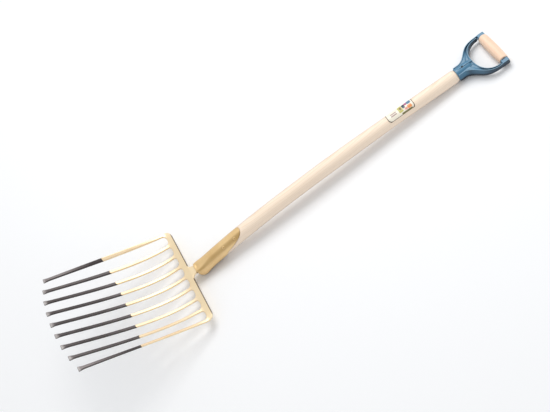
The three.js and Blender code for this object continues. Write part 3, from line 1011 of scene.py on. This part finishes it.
def gold_paint(name="gold_paint", dipped=False):
    """Bronze-gold paint, darker on its sharp edges, with painted shade at its silhouettes and
    in its hollows and a painted dark reflection where the undipped pieces face the camera; the
    comb's tines are dipped dark.
    """
    n = Nodes(name)
    patches = n.noise(14, 4, rough=0.6)
    deep, light = GOLD_COMB if dipped else GOLD_SOCKET
    colour = n.ramp(patches, [(0.30, deep), (0.70, light)])
    flecks = n.noise(900, 2)
    colour = n.mix(n.grey(flecks, 0, 0.30, 0.62, 0.75), colour, (0.98, 0.88, 0.66))
    facing = n.add("ShaderNodeLayerWeight")
    facing.inputs["Blend"].default_value = 0.5
    # Painted shade: the paint is darkened towards the silhouettes, where the surface turns away
    # from the view.
    rim = n.grey(facing.outputs["Facing"], 0.0, 0.80, 0.55, 0.95)
    colour = n.mix(rim, colour, (0.30, 0.18, 0.07))
    edges = n.add("ShaderNodeNewGeometry").outputs["Pointiness"]
    # Darker on its sharp edges.
    darker_edge = n.grey(edges, 0.0, 0.70, 0.512, 0.548)
    colour = n.mix(darker_edge, colour, (0.38, 0.24, 0.10))
    # Painted shade: the paint is darkened in hollows and where parts meet.
    around = n.add("ShaderNodeAmbientOcclusion")
    around.inputs["Distance"].default_value = 0.012
    hollow = n.grey(around.outputs["AO"], 0.75, 0.0, 0.50, 0.92)
    colour = n.mix(hollow, colour, (0.30, 0.17, 0.05))
    if not dipped:
        # Painted reflection: a dark band where the surface faces the camera.
        painted_dark_reflection = n.grey(facing.outputs["Facing"], 0.72, 0.0, 0.01, 0.11)
        colour = n.mix(painted_dark_reflection, colour, (0.42, 0.25, 0.07))
    metal = 0.45
    rough = n.grey(n.noise(60, 4), 0.28, 0.42)
    peel = n.noise(420, 2)
    forged = n.noise(48, 3)
    normal = n.bump(forged, 0.18, 0.0012)
    normal = n.bump(peel, 0.10, 0.0003, normal)
    if dipped:
        colour = comb_painted_light(n, colour)
        dark = below_paint_line(n)
        colour = n.mix(dark, colour, dip_colour(n, edges, facing))
        metal = n.grey(dark, 0.45, 0.30)
        rough = n.math("ADD", rough, n.math("MULTIPLY", dark, 0.10))
    return n.finish(colour, rough, normal, Metallic=metal)


def comb_painted_light(n, colour):
    """A crossbar painted paler as a highlight, with painted shade along its back edge on both
    sides of the neck.
    """
    along = n.part(n.place, "X")
    slot_ends = to_row((-BAR_DEPTH, 0, 0))[0]
    # Painted highlight: the crossbar is painted paler than the tines, as if it caught more
    # light.
    bar_painted_light = n.grey(along, 0.0, 0.55, slot_ends - 0.004, slot_ends + 0.004)
    colour = n.mix(bar_painted_light, colour, (1.00, 0.83, 0.54))
    back = to_row((-1.6, 0, 0))[0]
    # Painted shade along the crossbar's back edge, beside the neck.
    back_edge_shade = n.grey(along, 0.0, 0.92, back, back + 0.0005)
    beside_neck = n.grey(n.math("ABSOLUTE", n.part(n.place, "Y")), 0.0, 1.0, 0.019, 0.023)
    return n.mix(n.math("MULTIPLY", back_edge_shade, beside_neck), colour, (0.10, 0.065, 0.04))


def below_paint_line(n):
    """1 on the dipped ends of the tines, with a slightly wandering line."""
    line = to_row((PAINT_LINE, 0, 0))[0]
    wander = n.grey(n.noise(120, 3), -0.0016, 0.0016)
    reach = n.math("ADD", n.part(n.place, "X"), wander)
    return n.grey(reach, 1.0, 0.0, line - 0.0006, line + 0.0006)


TIP_WEAR_SETBACK = 1.137  # metres the wear falls back per metre to the power TIP_POWER


def dip_colour(n, edges, facing):
    """The dark dip, with a painted highlight on its upper faces and painted shade on its edges,
    worn to bare steel at the tips.
    """
    face = n.add("ShaderNodeNewGeometry").outputs["Normal"]
    dip = n.ramp(n.noise(90, 5, stretch=(0.3, 1, 1)),
                 [(0.3, (0.034, 0.026, 0.026)), (0.7, (0.065, 0.052, 0.052))])
    # Painted highlight: the dip is lighter on faces that point up.
    painted_highlight = n.grey(n.part(face, "Z"), 0.0, 0.8, 0.80, 0.90)
    dip = n.mix(painted_highlight, dip, (0.20, 0.175, 0.175))
    # Painted shade: the dip is darker on its sharp edges.
    dip = n.mix(n.grey(edges, 0.0, 0.85, 0.515, 0.56), dip, (0.022, 0.016, 0.016))
    tip = to_row((-REACH + 8, 0, 0))[0]
    setback = n.math("POWER", n.math("ABSOLUTE", n.part(n.place, "Y")), TIP_POWER)
    setback = n.math("MULTIPLY", setback, TIP_WEAR_SETBACK)
    worn_at = n.math("SUBTRACT", n.part(n.place, "X"), setback)
    ragged = n.grey(n.noise(260, 4), -0.003, 0.003)
    worn = n.grey(n.math("ADD", worn_at, ragged), 1.0, 0.0, tip - 0.0025, tip + 0.0025)
    bare = n.ramp(n.noise(300, 4), [(0.3, (0.24, 0.225, 0.22)), (0.7, (0.42, 0.395, 0.39))])
    # Painted shade: the bare steel is darkened towards its silhouettes.
    rim = n.grey(facing.outputs["Facing"], 0.0, 0.85, 0.25, 0.7)
    return n.mix(worn, dip, n.mix(rim, bare, (0.06, 0.05, 0.05)))


def ash_wood():
    """Pale straight-grained ash: long pores and wide, faint growth rings along x."""
    n = Nodes("ash_wood")
    sway = n.noise(2.2, 2, stretch=(1, 6, 6))
    rings = n.add("ShaderNodeTexWave", wave_type="RINGS", rings_direction="X")
    n.link(n.mapped((0.35, 60, 60), move=(0, 1.1, 0.7)), rings.inputs["Vector"])
    rings.inputs["Scale"].default_value = 1.3
    rings.inputs["Distortion"].default_value = 2.6
    rings.inputs["Detail"].default_value = 3
    rings.inputs["Detail Scale"].default_value = 1.2
    base = n.ramp(rings.outputs["Fac"], [(0.0, (0.93, 0.77, 0.61)), (0.55, (0.96, 0.82, 0.67)),
                                         (1.0, (0.89, 0.71, 0.54))])
    streaks = n.noise(30, 5, stretch=(0.35, 9, 9), rough=0.6)
    colour = n.mix(n.grey(streaks, 0.0, 0.26, 0.35, 0.75), base, (0.82, 0.62, 0.46))
    colour = n.mix(n.grey(sway, 0.0, 0.20, 0.3, 0.8), colour, (0.98, 0.86, 0.74))
    pores = n.noise(110, 4, stretch=(0.12, 9, 9), rough=0.7)
    lines = n.grey(pores, 0.0, 1.0, 0.60, 0.72)
    colour = n.mix(n.math("MULTIPLY", lines, 0.30), colour, (0.66, 0.47, 0.32))
    facing = n.add("ShaderNodeLayerWeight")
    facing.inputs["Blend"].default_value = 0.5
    # Painted shade: the wood is darkened towards its silhouettes.
    rim = n.grey(facing.outputs["Facing"], 0.0, 0.75, 0.42, 0.92)
    colour = n.mix(rim, colour, (0.45, 0.36, 0.31))
    normal = n.bump(pores, 0.12, 0.0005)
    return n.finish(colour, n.grey(streaks, 0.42, 0.58), normal)


def beech_wood():
    """Turned beech: fine flecks, and faint rings left by the lathe."""
    n = Nodes("beech_wood")
    streaks = n.noise(26, 4, stretch=(8, 0.5, 8), rough=0.6)
    colour = n.ramp(streaks, [(0.3, (0.88, 0.60, 0.43)), (0.6, (0.94, 0.69, 0.52)),
                              (0.85, (0.97, 0.77, 0.61))])
    flecks = n.noise(240, 2, stretch=(5, 0.7, 5))
    colour = n.mix(n.grey(flecks, 0, 0.4, 0.60, 0.72), colour, (0.72, 0.44, 0.29))
    turned = n.noise(500, 1, stretch=(0.02, 1, 0.02))
    normal = n.bump(flecks, 0.10, 0.0003)
    normal = n.bump(turned, 0.10, 0.0003, normal)
    return n.finish(colour, n.grey(streaks, 0.42, 0.55), normal)


def blue_plastic():
    """Satin moulded plastic, with painted highlights on its edges and up-facing faces, and
    painted shade in its hollows, low down and on the arms' sides that face -y.
    """
    n = Nodes("blue_plastic")
    cloud = n.noise(22, 3)
    colour = n.ramp(cloud, [(0.3, (0.046, 0.165, 0.285)), (0.7, (0.062, 0.200, 0.330))])
    geometry = n.add("ShaderNodeNewGeometry")
    # Painted highlight: the plastic is paler on its sharp edges.
    painted_highlight = n.grey(geometry.outputs["Pointiness"], 0.0, 0.75, 0.508, 0.545)
    colour = n.mix(painted_highlight, colour, (0.27, 0.44, 0.57))
    # Painted shade: the plastic is darkened in its hollows and channels.
    around = n.add("ShaderNodeAmbientOcclusion")
    around.inputs["Distance"].default_value = 0.014
    hollow = n.grey(around.outputs["AO"], 0.85, 0.0, 0.45, 0.95)
    colour = n.mix(hollow, colour, (0.012, 0.042, 0.085))
    facing = geometry.outputs["Normal"]
    # Painted highlight: faces that point up are lighter.
    top = n.grey(n.part(facing, "Z"), 0.0, 0.14, 0.80, 0.97)
    colour = n.mix(top, colour, (0.22, 0.40, 0.54))
    # Painted shade: the plastic is nearly black low down, near the floor.
    low = n.grey(n.part(n.place, "Z"), 0.95, 0.0, 0.0095, 0.0150)
    colour = n.mix(low, colour, (0.006, 0.012, 0.022))
    # The sides of the arms that face -y lie in shade.
    shaded_side = n.grey(n.part(facing, "Y"), 0.88, 0.0, -0.95, -0.45)
    on_arms = n.grey(n.math("ABSOLUTE", n.part(n.place, "Y")), 0.0, 1.0, 0.014, 0.020)
    colour = n.mix(n.math("MULTIPLY", shaded_side, on_arms), colour, (0.008, 0.020, 0.038))
    grain = n.noise(700, 2)
    normal = n.bump(grain, 0.10, 0.0003)
    return n.finish(colour, n.grey(n.noise(80, 3), 0.26, 0.38), normal)


def plain_steel():
    """Zinc-grey steel, with painted shade where it is sunk in a hole."""
    n = Nodes("plain_steel")
    scratches = n.noise(300, 4, stretch=(1, 8, 1))
    colour = n.ramp(scratches, [(0.3, (0.34, 0.34, 0.35)), (0.7, (0.60, 0.60, 0.60))])
    # Painted shade: the steel is darkened where it lies deep in a hole.
    around = n.add("ShaderNodeAmbientOcclusion")
    around.inputs["Distance"].default_value = 0.006
    recess_shade = n.grey(around.outputs["AO"], 0.97, 0.0, 0.75, 0.98)
    colour = n.mix(recess_shade, colour, (0.006, 0.007, 0.009))
    normal = n.bump(scratches, 0.15, 0.0003)
    return n.finish(colour, n.grey(scratches, 0.28, 0.45), normal, Metallic=0.9)


def box_mask(n, low, high, soft, round_off):
    """1 inside a round-cornered rectangle of the label's UV map, in millimetres."""
    centre = [(a + b) / 2 for a, b in zip(low, high)]
    half = [(b - a) / 2 - round_off for a, b in zip(low, high)]
    gaps = []
    for name, middle, size in zip("XY", centre, half):
        away = n.math("ABSOLUTE", n.math("SUBTRACT", n.part(n.uv, name), middle))
        gaps.append(n.math("MAXIMUM", n.math("SUBTRACT", away, size), 0.0))
    squares = n.math("ADD", n.math("MULTIPLY", gaps[0], gaps[0]),
                     n.math("MULTIPLY", gaps[1], gaps[1]))
    distance = n.math("SQRT", squares)
    return n.grey(distance, 1.0, 0.0, round_off, round_off + soft)


def label_print():
    """A plain generic label: a dark border, a pale field and patches of colour."""
    n = Nodes("label_print")
    long, half = LABEL_LENGTH, LABEL_ANGLE * SHAFT_TOP
    colour = (0.93, 0.78, 0.62)
    border = box_mask(n, (0.3, -half + 0.3), (long - 0.3, half - 0.3), 0.3, 9)
    colour = n.mix(border, colour, (0.055, 0.035, 0.020))
    field = box_mask(n, (1.9, -half + 2.8), (long - 1.9, half - 1.2), 0.3, 7.5)
    colour = n.mix(field, colour, (0.88, 0.83, 0.70))
    lower_band = box_mask(n, (38, -half + 1.0), (68, -half + 5.5), 0.5, 2)
    colour = n.mix(lower_band, colour, (0.16, 0.14, 0.04))
    patches = [
        ((34, -8), (45, 9), (0.55, 0.52, 0.16)),
        ((38, -3), (43, 4), (0.22, 0.14, 0.05)),
        ((46, -3), (53, 8), (0.03, 0.05, 0.08)),
        ((53.5, 1), (60, 9), (0.42, 0.12, 0.24)),
        ((60.5, 0), (71, 10), (0.10, 0.22, 0.34)),
        ((50, -9), (57, -4), (0.80, 0.36, 0.30)),
        ((58, -9.5), (69, -2), (0.82, 0.30, 0.10)),
        ((11, -5), (28, -2.5), (0.38, 0.27, 0.25)),
        ((11, -0.5), (28, 2), (0.38, 0.27, 0.25)),
    ]
    for low, high, shade in patches:
        colour = n.mix(box_mask(n, low, high, 0.5, 1.8), colour, shade)
    worn = n.noise(160, 4)
    colour = n.mix(n.grey(worn, 0, 0.20, 0.55, 0.75), colour, (0.90, 0.82, 0.70))
    normal = n.bump(n.noise(60, 2), 0.05, 0.0004)
    return n.finish(colour, n.grey(worn, 0.25, 0.40), normal)


def set_material(obj, material, slot_name):
    obj.data.materials.clear()
    obj.data.materials.append(material)


# ---- Build the tool ----
gold = gold_paint()
gold_dipped = gold_paint("gold_paint_dipped", dipped=True)
steel = plain_steel()

PIECES = [
    (tine_comb, "tine_head", gold_dipped, "head_paint"),
    (socket_sheet, "socket", gold, "head_paint"),
    (lambda: weld_bead("weld_ripples"), "socket_weld", gold, "head_paint"),
    (lambda: socket_nail("nail_lower", NAIL_LOWER), "socket_nail_lower", gold, "head_paint"),
    (lambda: socket_nail("nail_upper", NAIL_UPPER), "socket_nail_upper", gold, "head_paint"),
    (shaft_wood, "shaft", ash_wood(), "shaft_wood"),
    (d_frame, "d_frame", blue_plastic(), "frame_plastic"),
    (frame_nail, "frame_nail", steel, "bare_steel"),
    (grip_wood, "grip", beech_wood(), "grip_wood"),
    (grip_rod, "grip_rod", steel, "bare_steel"),
    (label_film, "label", label_print(), "label_film"),
]
for build, node, material, slot_name in PIECES:
    piece = build()
    set_material(piece, material, slot_name)
    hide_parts(node)
    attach(piece, "root")


# ---- Floor, light and camera ----
def pale_floor():
    mesh = bpy.data.meshes.new("floor")
    size = 12
    corners = [(-size, -size, 0), (size, -size, 0), (size, size, 0), (-size, size, 0)]
    mesh.from_pydata(corners, [], [(0, 1, 2, 3)])
    floor = bpy.data.objects.new("floor", mesh)
    bpy.context.scene.collection.objects.link(floor)
    n = Nodes("floor_paper")
    tone = n.grey(n.noise(2, 2), 0.90, 0.93)
    floor.data.materials.append(n.finish((0.905, 0.918, 0.935, 1), 0.9))
    n.link(tone, n.surface.inputs["Specular IOR Level"])


def area_light(name, place, target, size, power, colour=(1, 1, 1)):
    light = bpy.data.lights.new(name, "AREA")
    light.shape = "DISK"
    light.size = size
    light.energy = power
    light.color = colour
    obj = bpy.data.objects.new(name, light)
    obj.location = place
    aim = Vector(target) - Vector(place)
    obj.rotation_euler = aim.to_track_quat("-Z", "Y").to_euler()
    bpy.context.scene.collection.objects.link(obj)


def studio():
    world = bpy.data.worlds.new("studio")
    bpy.context.scene.world = world
    world.use_nodes = True
    background = world.node_tree.nodes["Background"]
    background.inputs["Color"].default_value = (0.985, 0.99, 1, 1)
    background.inputs["Strength"].default_value = 0.66
    area_light("key", (0.8, 1.3, 2.6), (0.1, 0, 0), 2.2, 54, (1, 0.985, 0.965))
    area_light("fill", (0.9, -2.2, 1.8), (0, 0, 0), 1.2, 3)
    view = bpy.context.scene.view_settings
    view.view_transform = "Standard"
    view.look = "None"


CAMERA_LENS = 65.45
CAMERA_PLACE = Vector((0.2229, -1.5200, 1.9830))
CAMERA_AIM = Vector((-0.1036, 0.6125, -0.7837))
CAMERA_RIGHT = Vector((0.7936, -0.4241, -0.4363))


def add_camera():
    """The camera looks down at the tool from its side, rolled so that it lies aslant."""
    camera = bpy.data.cameras.new("camera")
    camera.sensor_width = 36
    camera.lens = CAMERA_LENS
    camera.clip_end = 50
    obj = bpy.data.objects.new("camera", camera)
    back = -CAMERA_AIM.normalized()
    right = (CAMERA_RIGHT - back * CAMERA_RIGHT.dot(back)).normalized()
    up = back.cross(right)
    turn = Matrix((right, up, back)).transposed()
    obj.matrix_world = Matrix.Translation(CAMERA_PLACE) @ turn.to_4x4()
    bpy.context.scene.collection.objects.link(obj)
    bpy.context.scene.camera = obj


pale_floor()
studio()
add_camera()
